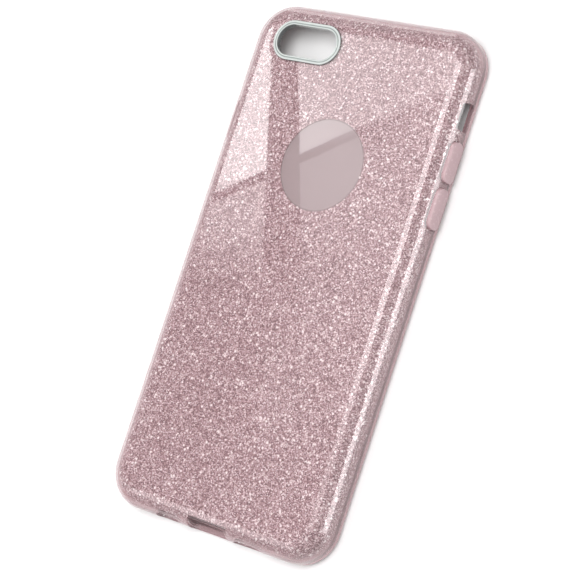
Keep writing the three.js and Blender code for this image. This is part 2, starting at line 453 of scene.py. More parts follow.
class Mould:
    """Makes the shapes that the case's layers are built from."""

    corner_steps: int = 20
    edge_steps: int = 14
    bar_steps: int = 7
    drum_steps: int = 72

    def __init__(self, sizes: CaseSizes) -> None:
        """Takes the case's sizes."""
        self.sizes = sizes

    @staticmethod
    def upright(a: Vector, b: Vector) -> bool:
        """Whether an edge stands along Z."""
        return abs(a.x - b.x) < TOUCH and abs(a.y - b.y) < TOUCH

    @staticmethod
    def level(height: float) -> Callable[[Vector, Vector], bool]:
        """A test for edges at one height."""
        return lambda a, b: abs(a.z - height) < TOUCH and abs(b.z - height) < TOUCH

    def column(self, name: str, depth: float, bottom: float, top: float) -> Workpiece:
        """The case's outline, set in by a depth, standing from one height to another."""
        low, high = self.sizes.low, self.sizes.high
        piece = Workpiece.block(
            name,
            (low.x + depth, low.y + depth, bottom),
            (high.x - depth, high.y - depth, top),
        )
        return piece.round_edges(
            self.upright, self.sizes.corner_radius - depth, self.corner_steps
        )

    def slab(self, name: str, depth: float, foot: float, foot_radius: float = 0.0) -> Workpiece:
        """The slab that lies a depth below the case's outer surface.

        Args:
            name: The name of the piece.
            depth: How far below the outer surface it lies.
            foot: The height that it stands up from.
            foot_radius: The rounding of its lower rim.

        Returns:
            The slab, with its corners and its upper rim rounded.
        """
        top = self.sizes.high.z - depth
        piece = self.column(name, depth, foot, top)
        piece.round_edges(self.level(top), self.sizes.edge_radius - depth, self.edge_steps)
        if foot_radius > 0:
            piece.round_edges(self.level(foot), foot_radius, self.bar_steps)
        return piece

    def side_bar(
        self, outline: Opening, side: Side, inner: float | None = None, outer: float | None = None
    ) -> Workpiece:
        """A rounded bar through a long side.

        Args:
            outline: Its outline, with its length along Y.
            side: The side that it goes through.
            inner: How far from the middle it starts.
            outer: How far from the middle it ends.

        Returns:
            The bar.
        """
        inner = self.sizes.side_inner if inner is None else inner
        outer = self.sizes.high.x + CLEAR if outer is None else outer
        near, far = sorted((side.value * inner, side.value * outer))
        half, rise = outline.length / 2, outline.height / 2
        piece = Workpiece.block(
            "bar",
            (near, outline.along - half, outline.up - rise),
            (far, outline.along + half, outline.up + rise),
        )
        return piece.round_edges(
            lambda a, b: abs(a.y - b.y) < TOUCH and abs(a.z - b.z) < TOUCH,
            outline.radius,
            self.bar_steps,
        )

    def end_bar(self, outline: Opening, inner: float) -> Workpiece:
        """A rounded bar through the end away from the camera, with its length along X."""
        half, rise = outline.length / 2, outline.height / 2
        piece = Workpiece.block(
            "bar",
            (outline.along - half, -self.sizes.high.y - CLEAR, outline.up - rise),
            (outline.along + half, -inner, outline.up + rise),
        )
        return piece.round_edges(
            lambda a, b: abs(a.x - b.x) < TOUCH and abs(a.z - b.z) < TOUCH,
            outline.radius,
            self.bar_steps,
        )

    def camera_bar(self, margin: float, bottom: float, top: float) -> Workpiece:
        """The camera opening's outline, grown by a margin, as an upright bar."""
        low, high = CameraCollar.inner_box()
        radius = (high.y - low.y) / 2
        centre = Vector((low.x + radius, (low.y + high.y) / 2, (bottom + top) / 2))
        piece = Workpiece.drum("bar", centre, radius + margin, top - bottom, self.drum_steps)
        piece.stretch(centre.x, (high.x - low.x) - 2 * radius)
        return piece


# ---------------------------------------------------------------- shader maths


class Signal:
    """A shader socket that takes part in expressions on numbers."""

    def __init__(self, bench: "Bench", socket: bpy.types.NodeSocket) -> None:
        """Wraps a socket of a bench's tree."""
        self.bench = bench
        self.socket = socket

    def maths(self, operation: str, *values: "Signal | float") -> "Signal":
        """The result of a Math node on the given values."""
        return self.bench.add("ShaderNodeMath", {"operation": operation}, dict(enumerate(values)))

    def output(self, name: str) -> "Signal":
        """Another output of the same node."""
        return Signal(self.bench, self.socket.node.outputs[name])

    def __add__(self, other: "Signal | float") -> "Signal":
        """This plus other."""
        return self.maths("ADD", self, other)

    def __radd__(self, other: float) -> "Signal":
        """Other plus this."""
        return self.maths("ADD", other, self)

    def __sub__(self, other: "Signal | float") -> "Signal":
        """This minus other."""
        return self.maths("SUBTRACT", self, other)

    def __rsub__(self, other: float) -> "Signal":
        """Other minus this."""
        return self.maths("SUBTRACT", other, self)

    def __mul__(self, other: "Signal | float") -> "Signal":
        """This times other."""
        return self.maths("MULTIPLY", self, other)

    def __rmul__(self, other: float) -> "Signal":
        """Other times this."""
        return self.maths("MULTIPLY", other, self)

    def __truediv__(self, other: "Signal | float") -> "Signal":
        """This divided by other."""
        return self.maths("DIVIDE", self, other)

    def __abs__(self) -> "Signal":
        """The size of this, without its sign."""
        return self.maths("ABSOLUTE", self)


class Bench:
    """A node tree being wired up."""

    def __init__(self, tree: bpy.types.NodeTree) -> None:
        """Takes an empty tree."""
        self.tree = tree

    @classmethod
    def material(cls, name: str) -> tuple[bpy.types.Material, "Bench"]:
        """A new material and the bench for its empty tree."""
        material = bpy.data.materials.new(name)
        material.use_nodes = True
        material.node_tree.nodes.clear()
        return material, cls(material.node_tree)

    def add(
        self,
        kind: str,
        settings: dict[str, object] | None = None,
        inputs: dict[str | int, Feed] | None = None,
        output: str | int = 0,
    ) -> Signal:
        """Adds any node.

        Args:
            kind: The node's type.
            settings: Its settings, among them "stops" for a ramp, a list of place and colour.
            inputs: The value or link of each socket, by name or number.
            output: The output that is wanted.

        Returns:
            That output.
        """
        node = self.tree.nodes.new(kind)
        for name, value in (settings or {}).items():
            if name == "stops":
                self.set_stops(node.color_ramp, value)
            else:
                setattr(node, name, value)
        for name, value in (inputs or {}).items():
            if isinstance(value, Signal):
                self.tree.links.new(value.socket, node.inputs[name])
            else:
                node.inputs[name].default_value = value
        return Signal(self, node.outputs[output]) if len(node.outputs) else None

    @staticmethod
    def set_stops(ramp: bpy.types.ColorRamp, stops: Sequence[tuple[float, Triple]]) -> None:
        """Gives a ramp its stops, each a place and a colour."""
        while len(ramp.elements) < len(stops):
            ramp.elements.new(0.5)
        for element, (place, colour) in zip(ramp.elements, stops):
            element.position = place
            element.color = (*colour, 1.0)

    def blend(self, mask: Signal | float, first: Feed, second: Feed) -> Signal:
        """A colour between two: the first where the mask is 0, the second where it is 1."""
        feeds = {0: mask, 6: self.full(first), 7: self.full(second)}
        return self.add("ShaderNodeMix", {"data_type": "RGBA"}, feeds, 2)

    @staticmethod
    def full(colour: Feed) -> Feed:
        """A plain colour with its fourth number; a link as it is."""
        return colour if isinstance(colour, Signal) else (*colour, 1.0)

    def rise(self, value: Signal, start: float, end: float) -> Signal:
        """0 before start, 1 after end, and smooth between them."""
        settings = {"interpolation_type": "SMOOTHSTEP"}
        return self.add("ShaderNodeMapRange", settings, {"Value": value, 1: start, 2: end})

    def place(self) -> Signal:
        """The place on the piece, in its own coordinates."""
        return self.add("ShaderNodeTexCoord", output="Object")

    def axes(self, vector: Signal) -> tuple[Signal, Signal, Signal]:
        """A vector's three numbers."""
        x = self.add("ShaderNodeSeparateXYZ", inputs={0: vector}, output="X")
        return x, x.output("Y"), x.output("Z")

    def noise(self, place: Signal, scale: float, detail: float = 3.0) -> Signal:
        """Soft noise from 0 to 1."""
        feeds = {"Vector": place, "Scale": scale, "Detail": detail}
        return self.add("ShaderNodeTexNoise", inputs=feeds)

    def cells(self, place: Signal, scale: float) -> Signal:
        """Three random numbers for each cell."""
        return self.add("ShaderNodeTexVoronoi", {}, {"Vector": place, "Scale": scale}, "Color")

    def bump(self, strength: float, distance: float, height: Signal) -> Signal:
        """A normal that follows a height."""
        feeds = {"Strength": strength, "Distance": distance, "Height": height}
        return self.add("ShaderNodeBump", inputs=feeds)

    def vector_maths(self, operation: str, feeds: dict[str | int, Feed]) -> Signal:
        """The result of a Vector Math node."""
        return self.add("ShaderNodeVectorMath", {"operation": operation}, feeds)

    def principled(self, feeds: dict[str | int, Feed]) -> Signal:
        """A Principled shader."""
        return self.add("ShaderNodeBsdfPrincipled", inputs=feeds)

    def mixed(self, share: Signal | float, first: Signal, second: Signal) -> Signal:
        """A shader between two: the first where the share is 0, the second where it is 1."""
        return self.add("ShaderNodeMixShader", inputs={0: share, 1: first, 2: second})

    def surface(self, shader: Signal) -> None:
        """Sends a shader to the material's surface."""
        self.add("ShaderNodeOutputMaterial", inputs={"Surface": shader})


# ---------------------------------------------------------------- finishes


@dataclass(frozen=True)
class ClearFinish:
    """Clear moulded plastic: tinted, faintly hazy, glossy on the faces that look outwards.

    It is milkier below a height, where it is thick, and on its rounded rims seen at a slant.
    """

    name: str
    tint: Triple
    haze_colour: Triple
    haze: float
    thick_haze: float
    rim_haze: float
    ior: float
    roughness: float
    ripple: float
    thick_below: float = 2.4 * MM
    thick_blur: float = 0.15 * MM
    slant: Span = (0.24, 0.78)
    flat_from: Span = (0.80, 0.97)
    cloud_scale: float = 90.0
    cloud_depth: float = 0.3
    ripple_scale: float = 260.0
    ripple_height: float = 0.02 * MM

    def make(self) -> bpy.types.Material:
        """The material."""
        material, bench = Bench.material(self.name)
        place = bench.place()
        _, _, height = bench.axes(place)
        clouds = bench.noise(place, self.cloud_scale)
        low, high = self.thick_below - self.thick_blur, self.thick_below + self.thick_blur
        thick = 1 - bench.rise(height, low, high)
        facing = bench.add("ShaderNodeLayerWeight", {}, {"Blend": 0.5}, "Facing")
        _, _, up = bench.axes(bench.add("ShaderNodeNewGeometry", output="Normal"))
        rim = bench.rise(facing, *self.slant) * (1 - bench.rise(up, *self.flat_from))
        haze = self.haze + self.rim_haze * rim + (self.thick_haze - self.haze) * thick
        haze = haze * (1 - self.cloud_depth / 2 + self.cloud_depth * clouds)
        ripple = bench.noise(place, self.ripple_scale, 2.0)
        colour = bench.blend(clouds, self.haze_colour, [c * 0.96 for c in self.haze_colour])
        clear = bench.add("ShaderNodeBsdfTransparent", {}, {"Color": (*self.tint, 1.0)})
        milk = bench.add("ShaderNodeBsdfDiffuse", {}, {"Color": colour})
        gloss = bench.add(
            "ShaderNodeBsdfGlossy",
            inputs={
                "Color": (1, 1, 1, 1),
                "Roughness": self.roughness,
                "Normal": bench.bump(self.ripple, self.ripple_height, ripple),
            },
        )
        back = bench.add("ShaderNodeNewGeometry", output="Backfacing")
        shine = bench.add("ShaderNodeFresnel", {}, {"IOR": self.ior}) * (1 - back)
        bench.surface(bench.mixed(shine, bench.mixed(haze, clear, milk), gloss))
        return material


@dataclass(frozen=True)
class GlitterFinish:
    """Fine metal flakes in a rose lacquer, each with its own tone and tilt."""

    name: str = "rose_glitter"
    flake_scale: float = 3700.0
    drift_scale: float = 45.0
    drift: float = 0.16
    deep: Triple = (0.180, 0.108, 0.116)
    rose: Triple = (0.375, 0.250, 0.264)
    pale: Triple = (0.660, 0.520, 0.532)
    white: Triple = (0.980, 0.920, 0.925)
    bright: Span = (0.6, 0.95)
    tilt: float = 0.18
    metallic: float = 0.10
    roughness: float = 0.42

    def make(self) -> bpy.types.Material:
        """The material."""
        material, bench = Bench.material(self.name)
        place = bench.place()
        cells = bench.cells(place, self.flake_scale)
        tone, lean, turn = bench.axes(cells)
        tone = tone + self.drift * bench.noise(place, self.drift_scale, 4.0) - self.drift / 2
        stops = [(0.0, self.deep), (0.40, self.rose), (0.84, self.pale), (0.98, self.white)]
        colour = bench.add("ShaderNodeValToRGB", {"stops": stops}, {"Fac": tone})
        tilt = bench.vector_maths("SUBTRACT", {0: cells, 1: (0.5, 0.5, 0.5)})
        tilt = bench.vector_maths("SCALE", {0: tilt, "Scale": self.tilt})
        normal = bench.add("ShaderNodeNewGeometry", output="Normal")
        normal = bench.vector_maths("ADD", {0: normal, 1: tilt})
        shader = bench.principled(
            {
                "Base Color": colour,
                "Metallic": self.metallic + 0.25 * bench.rise(tone, *self.bright),
                "Roughness": self.roughness - 0.12 * turn + 0.08 * lean,
                "Specular IOR Level": 0.25,
                "Normal": bench.vector_maths("NORMALIZE", {0: normal}),
            }
        )
        bench.surface(shader)
        return material


@dataclass(frozen=True)
class FlakeFinish:
    """Bright metal leaf, whiter on the flakes that catch the light."""

    name: str = "bright_leaf"
    dim: Triple = (0.620, 0.500, 0.505)
    bright: Triple = (1.000, 0.970, 0.965)
    grain_scale: float = 6000.0
    grain_depth: float = 0.2

    def make(self) -> bpy.types.Material:
        """The material."""
        material, bench = Bench.material(self.name)
        source = {"attribute_name": Flakes.TONE, "attribute_type": "GEOMETRY"}
        tone = bench.add("ShaderNodeAttribute", source, output="Fac")
        grain = bench.noise(bench.place(), self.grain_scale, 2.0)
        shade = tone + self.grain_depth * grain - self.grain_depth / 2
        shader = bench.principled(
            {
                "Base Color": bench.blend(shade, self.dim, self.bright),
                "Metallic": 0.10 + 0.25 * tone,
                "Roughness": 0.40 - 0.12 * tone,
                "Specular IOR Level": 0.3,
            }
        )
        bench.surface(shader)
        return material


@dataclass(frozen=True)
class PadFinish:
    """Soft rose silicone with a satin skin and a few flakes cast in."""

    name: str = "pad_silicone"
    colour: Triple = (0.530, 0.365, 0.388)
    fleck: Triple = (0.760, 0.640, 0.650)
    fleck_scale: float = 2600.0
    fleck_share: float = 0.35
    cloud_scale: float = 400.0
    bump: float = 0.15

    def make(self) -> bpy.types.Material:
        """The material."""
        material, bench = Bench.material(self.name)
        place = bench.place()
        tone, _, _ = bench.axes(bench.cells(place, self.fleck_scale))
        clouds = bench.noise(place, self.cloud_scale)
        flecks = self.fleck_share * bench.rise(tone, 0.8, 1.0)
        clouded = bench.blend(clouds, self.colour, [c * 0.9 for c in self.colour])
        shader = bench.principled(
            {
                "Base Color": bench.blend(flecks, clouded, self.fleck),
                "Roughness": 0.38 + 0.12 * clouds,
                "IOR": 1.45,
                "Coat Weight": 0.3,
                "Coat Roughness": 0.35,
                "Normal": bench.bump(self.bump, HAIR, clouds),
            }
        )
        bench.surface(shader)
        return material


@dataclass(frozen=True)
class CollarFinish:
    """Clear grey-green plastic over a grey core, with painted shade that darkens it by depth below
    the collar's top and a painted highlight along the top of its bead.
    """

    name: str = "collar_plastic"
    # Painted shade: the dark colour of the collar's inner wall and sleeve below the rim.
    sleeve: Triple = (0.130, 0.140, 0.138)
    valley: Triple = (0.330, 0.370, 0.355)
    # Painted highlight: the pale line along the top of the bead.
    bead: Triple = (0.700, 0.740, 0.720)
    tint: Triple = (0.86, 0.90, 0.88)
    clearness: float = 0.12
    # Depths below the top over which the painted shade gives way to the valley colour, and over
    # which the painted highlight comes in.
    shade_fade_depths: Span = (0.55 * MM, 0.20 * MM)
    highlight_depths: Span = (0.12 * MM, 0.01 * MM)
    cloud_scale: float = 500.0

    def make(self) -> bpy.types.Material:
        """The material."""
        material, bench = Bench.material(self.name)
        place = bench.place()
        clouds = bench.noise(place, self.cloud_scale)
        _, _, height = bench.axes(place)
        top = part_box("camera_ring")[1].z
        # Painted shade up to the rim, then the valley colour, then the painted highlight at the top
        # of the bead.
        rim = bench.rise(height, *(top - depth for depth in self.shade_fade_depths))
        painted_highlight_mask = bench.rise(height, *(top - depth for depth in self.highlight_depths))
        colour = bench.blend(painted_highlight_mask, bench.blend(rim, self.sleeve, self.valley), self.bead)
        core = bench.principled(
            {
                # The clouds mix a little of the painted shade colour in all over, as a random
                # darker tone.
                "Base Color": bench.blend(0.12 * clouds, colour, self.sleeve),
                "Roughness": 0.10 + 0.08 * clouds,
                "IOR": 1.49,
                "Coat Weight": 0.6,
                "Coat Roughness": 0.03,
            }
        )
        clear = bench.add("ShaderNodeBsdfTransparent", {}, {"Color": (*self.tint, 1.0)})
        bench.surface(bench.mixed(self.clearness * (0.8 + 0.4 * clouds), core, clear))
        return material


SHELL_FINISH = ClearFinish(
    name="clear_silicone",
    tint=(0.985, 0.965, 0.970),
    haze_colour=(0.56, 0.36, 0.38),
    haze=0.03,
    thick_haze=0.46,
    rim_haze=0.55,
    ior=1.80,
    roughness=0.018,
    ripple=0.03,
)
PLATE_FINISH = ClearFinish(
    name="clear_plate",
    tint=(0.930, 0.910, 0.912),
    haze_colour=(0.70, 0.625, 0.625),
    haze=0.48,
    thick_haze=0.48,
    rim_haze=0.10,
    ior=1.50,
    roughness=0.05,
    ripple=0.015,
)


def dress(piece: bpy.types.Object, finish: bpy.types.Material) -> None:
    """Gives a piece one finish all over."""
    piece.data.materials.clear()
    piece.data.materials.append(finish)


def fit(
    piece: bpy.types.Object, finish: bpy.types.Material, body: Body, slot: Slot, *nodes: str
) -> None:
    """Gives a finished piece its looks and its place in the case.

    Args:
        piece: The piece.
        finish: Its material.
        body: The body that it rides on.
        slot: Not used.
        nodes: The CAD nodes that it stands for.
    """
    dress(piece, finish)
    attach(piece, body.value)
    if nodes:
        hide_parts(*nodes)
    log.info("%s: %d faces, rides %s", piece.name, len(piece.data.polygons), body.value)


# ---------------------------------------------------------------- the pieces


@dataclass
class CameraCollar:
    """The collar round the camera opening: a sleeve with a beaded rim."""

    wall: float = 0.75 * MM
    rim_width: float = 1.25 * MM
    rim_thickness: float = 0.5 * MM
    valley_depth: float = 0.16 * MM
    valley_share: Span = (0.3, 0.5)
    bead_radius: float = 0.30 * MM
    inner_radius: float = 0.12 * MM
    steps: int = 96

    @classmethod
    def inner_box(cls) -> tuple[Vector, Vector]:
        """The lowest and highest corner of the clear opening."""
        low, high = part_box("camera_ring")
        rim = Vector((cls.rim_width, cls.rim_width, 0))
        return low + rim, high - rim

    def build(self) -> bpy.types.Object:
        """Spins the rim's profile into a ring and draws it out to a long one.

        Returns:
            The collar.
        """
        low, high = self.inner_box()
        seat = high.z - self.rim_thickness
        radius = (high.y - low.y) / 2
        axis = Vector((low.x + radius, (low.y + high.y) / 2, 0))
        middle = (axis.x - radius - self.wall / 2, axis.y, (low.z + seat) / 2)
        Workpiece.clear_selection()
        bpy.ops.mesh.primitive_plane_add(size=1, location=middle, rotation=(math.pi / 2, 0, 0))
        bpy.context.object.scale = (self.wall, seat - low.z, 1)
        ring = Workpiece.taken("collar")
        self.shape_profile(ring, axis.x - radius, seat, high.z)
        self.spin_profile(ring, axis)
        ring.stretch(axis.x, (high.x - low.x) - 2 * radius)
        ring.face_outwards()
        return ring.soften(0.0).body

    def spin_profile(self, ring: Workpiece, axis: Vector) -> None:
        """Spins the profile's outline round the axis, from half a step on.

        Args:
            ring: The profile.
            axis: The middle of the spin.
        """
        ring.open("FACE")
        ring.pick_all()
        bpy.ops.mesh.delete(type="ONLY_FACE")
        ring.pick_all()
        half_step = math.pi / self.steps
        bpy.ops.transform.rotate(value=half_step, orient_axis="Z", center_override=tuple(axis))
        ring.pick_all()
        bpy.ops.mesh.spin(
            steps=self.steps, angle=2 * math.pi, center=tuple(axis), axis=(0, 0, 1), dupli=False
        )
        ring.pick_all()
        bpy.ops.mesh.remove_doubles(threshold=0.004 * MM)
        ring.close()

    def shape_profile(self, ring: Workpiece, inner: float, seat: float, top: float) -> None:
        """Draws the rim out of the sleeve's profile and rounds its bead and inner edge.

        Args:
            ring: The profile, so far the sleeve's cut face.
            inner: The X of the clear opening's wall.
            seat: The height of the rim's underside.
            top: The height of the rim's top.
        """
        ring.pick_edges(Mould.level(seat))
        ring.draw_out((0, 0, top - seat))
        ring.close()
        flank = inner - self.wall
        ring.pick_edges(
            lambda *ends: all(abs(p.x - flank) < TOUCH and p.z > seat - TOUCH for p in ends)
        )
        ring.draw_out((self.wall - self.rim_width, 0, 0))
        ring.pick_all()
        bpy.ops.mesh.dissolve_limited(angle_limit=math.radians(1))
        ring.close()
        ring.pick_edges(Mould.level(top))
        bpy.ops.mesh.subdivide(number_cuts=4)
        ring.close()
        near, far = self.valley_share
        ring.pick_points(
            lambda p: p.z > top - TOUCH and near < (inner - p.x) / self.rim_width < far
        )
        bpy.ops.transform.translate(value=(0, 0, -self.valley_depth))
        ring.close()
        outer = inner - self.rim_width
        self.round_corners(
            ring, lambda p: p.z > top - TOUCH and p.x < outer + TOUCH, self.bead_radius
        )
        self.round_corners(
            ring, lambda p: p.z > top - TOUCH and p.x > inner - TOUCH, self.inner_radius
        )

    @staticmethod
    def round_corners(ring: Workpiece, test: Callable[[Vector], bool], radius: float) -> None:
        """Rounds the profile's corners that pass a test."""
        ring.pick_points(test)
        bpy.ops.mesh.bevel(offset=radius, segments=6, affect="VERTICES", clamp_overlap=False)
        ring.close()


@dataclass
class Layers:
    """The shell, the film and the plate, nested one inside the other."""

    sizes: CaseSizes
    mould: Mould
    pads: dict[str, Opening]
    camera_margin: float = 0.85 * MM
    shell_edge_radius: float = 0.12 * MM
    plate_edge_radius: float = 0.05 * MM

    def side_borders(self, gap: float) -> list[tuple[Side, Opening]]:
        """Each long side's solid wall outlines: round the mute slot and round the pads.

        Args:
            gap: How much smaller they are.

        Returns:
            Each outline with its side.
        """
        slot = MUTE_SLOT.grown(self.sizes.opening_border - gap)
        border = self.sizes.button_border - gap
        pads = [(side, span.grown(border)) for side, span in self.web_spans()]
        return [(Side.VOLUME, slot), *pads]

    def borders(self, gap: float) -> list[Workpiece]:
        """What film and plate leave out beside the openings.

        Args:
            gap: How much smaller the shell's solid wall there is.

        Returns:
            One bar for each border.
        """
        sizes, mould = self.sizes, self.mould
        end_inner = sizes.end_inner - sizes.opening_border + gap
        bars = [
            mould.side_bar(outline, side, sizes.side_inner + gap)
            for side, outline in self.side_borders(gap)
        ]
        for outline in END_OPENINGS:
            bars.append(mould.end_bar(outline.grown(sizes.opening_border - gap), end_inner))
        return bars

    def foot_notches(self) -> list[Workpiece]:
        """Square notches from under the ledge to the middle of the long sides' borders."""
        bars = []
        for side, border in self.side_borders(0.0):
            notch = Opening(
                border.along,
                border.up / 2,
                border.length,
                border.up,
                self.sizes.ledge_notch_radius,
            )
            bars.append(self.mould.side_bar(notch, side))
        return bars

    def build_shell(self) -> bpy.types.Object:
        """The soft shell: back, side walls, lip, ledge, openings and web recesses.

        Returns:
            The shell.
        """
        sizes, mould = self.sizes, self.mould
        collar, gap = CameraCollar(), sizes.collar_gap
        top = sizes.high.z
        shell = mould.slab("clear_shell", 0.0, 0.0, sizes.lip_edge_radius)
        insert = mould.slab("insert", sizes.shell_wall, sizes.ledge_height)
        insert.cut(*self.borders(sizes.border_gap))
        shell.cut(insert)
        foot_radius = sizes.pocket_foot_radius
        shell.cut(mould.slab("pocket", sizes.wall_depth, sizes.lip_height, foot_radius))
        mouth_top = sizes.lip_height + foot_radius
        shell.cut(mould.column("mouth", sizes.mouth_depth, -CLEAR, mouth_top))
        shell.cut(mould.camera_bar(collar.wall + gap, 0.0, top + CLEAR))
        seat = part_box("camera_ring")[1].z - collar.rim_thickness - gap
        shell.cut(mould.camera_bar(collar.rim_width + gap, seat, top + CLEAR))
        shell.cut(mould.side_bar(MUTE_SLOT, Side.VOLUME))
        for outline in END_OPENINGS:
            shell.cut(mould.end_bar(outline, sizes.end_inner))
        for name, outline in self.pads.items():
            side = Side.POWER if name == "power_button" else Side.VOLUME
            shell.cut(mould.side_bar(outline.grown(sizes.pad_gap), side))
        for side, span in self.web_spans():
            recess = mould.side_bar(span.grown(sizes.web_margin + sizes.web_gap), side)
            shell.cut(recess.keep(mould.slab("recess", sizes.recess_depth, 0.0)))
        return shell.tidy().score(SCORE_LINES).soften(self.shell_edge_radius).body

    def web_spans(self) -> list[tuple[Side, Opening]]:
        """Each web's side and the outline of the pads on it."""
        volume = spanning(self.pads["volume_up_button"], self.pads["volume_down_button"])
        return [(Side.VOLUME, volume), (Side.POWER, self.pads["power_button"])]

    def tray(self, name: str, depth: float, thickness: float, overlap: float) -> Workpiece:
        """One of the two thin trays inside the shell.

        Args:
            name: Its name.
            depth: How far below the case's outer surface it lies.
            thickness: Its wall.
            overlap: How far it runs into the shell's solid walls beside the openings.

        Returns:
            The tray, with its notches and its camera opening.
        """
        sizes, mould = self.sizes, self.mould
        tray = mould.slab(name, depth, sizes.layer_foot)
        tray.cut(mould.slab("inside", depth + thickness, sizes.layer_foot - CLEAR))
        tray.cut(*self.borders(overlap), *self.foot_notches())
        return tray.cut(mould.camera_bar(self.camera_margin, 0.0, sizes.high.z + CLEAR))

    def build_film(self) -> bpy.types.Object:
        """The glitter film, with its round window."""
        sizes = self.sizes
        film = self.tray("glitter_film", sizes.film_depth, sizes.film_thickness, sizes.film_overlap)
        centre = (0.0, sizes.window_y, sizes.high.z)
        film.cut(
            Workpiece.drum("window", centre, sizes.window_radius, 2 * CLEAR, sizes.window_steps)
        )
        return film.tidy().score(SCORE_LINES).soften(0.0).body

    def build_plate(self) -> bpy.types.Object:
        """The hard clear plate that the phone lies against."""
        thickness = self.sizes.wall_depth - self.sizes.plate_depth
        plate = self.tray("inner_plate_clear", self.sizes.plate_depth, thickness, 0.0)
        plate.join(self.window_boss())
        return plate.tidy().score(SCORE_LINES).soften(self.plate_edge_radius).body

    def window_boss(self) -> Workpiece:
        """The low round boss of the plate that fills the film's window."""
        sizes = self.sizes
        top = sizes.high.z - sizes.boss_depth
        bottom = sizes.high.z - sizes.plate_depth - sizes.boss_root
        centre = (0.0, sizes.window_y, (bottom + top) / 2)
        radius = sizes.window_radius - sizes.boss_gap
        boss = Workpiece.drum("boss", centre, radius, top - bottom, sizes.window_steps)
        return boss.round_edges(self.mould.level(top), sizes.boss_edge_radius, 3)


@dataclass
class Flakes:
    """The larger flakes: thin six-sided leaves scattered over the film, each with its own tilt."""

    TONE: ClassVar[str] = "tone"

    film: bpy.types.Object
    sizes: CaseSizes
    count: int = 3800
    seed: int = 11
    radius: tuple[float, float] = (0.15 * MM, 0.36 * MM)
    thickness: float = 0.012 * MM
    float_height: float = 0.025 * MM
    tilt: float = 0.055
    small_bias: float = 1.4
    outward: float = 0.5

    def leaf(self) -> bpy.types.Mesh:
        """One leaf of unit radius, lying flat.

        Returns:
            Its mesh.
        """
        Workpiece.clear_selection()
        bpy.ops.mesh.primitive_circle_add(vertices=6, radius=1, fill_type="NGON")
        leaf = Workpiece.taken("leaf")
        leaf.open("FACE")
        leaf.pick_all()
        leaf.draw_out((0, 0, self.thickness / self.radius[1]))
        leaf.close()
        leaf.face_outwards()
        mesh = leaf.body.data
        bpy.data.objects.remove(leaf.body)
        return mesh

    def outer_faces(self) -> tuple[list[tuple[Vector, Vector, Vector]], list[float]]:
        """The film's outward triangles and their running area."""
        core = Vector([c - self.sizes.edge_radius for c in self.sizes.high])
        mesh = self.film.data
        mesh.calc_loop_triangles()
        faces, running, total = [], [], 0.0
        for triangle in mesh.loop_triangles:
            a, b, c = (mesh.vertices[i].co for i in triangle.vertices)
            middle = (a + b + c) / 3
            near = Vector([max(-c, min(c, m)) for c, m in zip(core, middle)])
            if triangle.normal.dot((middle - near).normalized()) < self.outward:
                continue
            total += triangle.area
            faces.append((a.copy(), b.copy(), c.copy()))
            running.append(total)
        return faces, running

    def build(self) -> bpy.types.Object:
        """Copies the leaf over the film.

        Returns:
            All the leaves as one piece, with a tone for each.
        """
        dice = random.Random(self.seed)
        leaf = self.leaf()
        faces, running = self.outer_faces()
        points: list[Vector] = []
        rings: list[list[int]] = []
        tones: list[float] = []
        for _ in range(self.count):
            a, b, c = faces[bisect.bisect(running, dice.random() * running[-1])]
            u, v = sorted((dice.random(), dice.random()))
            place = a * u + b * (v - u) + c * (1 - v)
            normal = (b - a).cross(c - a).normalized()
            lean = Vector([dice.uniform(-self.tilt, self.tilt) for _ in range(3)])
            turn = (normal + lean).to_track_quat("Z", "Y")
            turn = turn @ Quaternion((0, 0, 1), dice.uniform(0, math.tau))
            tone = dice.random() ** self.small_bias
            radius = self.radius[0] + (self.radius[1] - self.radius[0]) * tone
            at = Matrix.LocRotScale(place + normal * self.float_height, turn, Vector((radius,) * 3))
            rings += [[len(points) + i for i in face.vertices] for face in leaf.polygons]
            points += [at @ vertex.co for vertex in leaf.vertices]
            tones += [tone] * len(leaf.polygons)
        piece = bpy.data.objects.new("glitter_flakes", bpy.data.meshes.new("glitter_flakes"))
        bpy.context.scene.collection.objects.link(piece)
        piece.data.from_pydata(points, [], rings)
        attribute = piece.data.attributes.new(self.TONE, "FLOAT", "FACE")
        attribute.data.foreach_set("value", tones)
        return piece


@dataclass
class PressPad:
    """A press pad: a soft head in the shell's opening and a stem through the web."""

    name: str
    body: Body
    side: Side
    sizes: CaseSizes
    mould: Mould
    proud: float = 0.6 * MM
    grain: float = 0.13 * MM
    smoothing: int = 12
    smoothing_strength: float = 0.5

    @property
    def node(self) -> str:
        """The pad's CAD node."""
        return f"{self.body.value}_button"

    def build(self) -> bpy.types.Object:
        """The pad, with its front edge well rounded.

        Returns:
            The pad.
        """
        sizes, mould = self.sizes, self.mould
        outline = pad_outline(self.node)
        head = mould.slab(self.name, -self.proud, sizes.lip_height)
        head.cut(mould.slab("back", sizes.pad_back_depth, 0.0))
        head.keep(mould.side_bar(outline, self.side))
        start = sizes.high.x - sizes.web_back_depth
        end = sizes.high.x - sizes.pad_back_depth + sizes.pad_travel / 2
        head.join(mould.side_bar(outline.grown(-sizes.stem_inset), self.side, start, end))
        head.apply("REMESH", mode="VOXEL", voxel_size=self.grain)
        head.apply("SMOOTH", factor=self.smoothing_strength, iterations=self.smoothing)
        return head.soften(0.0).body


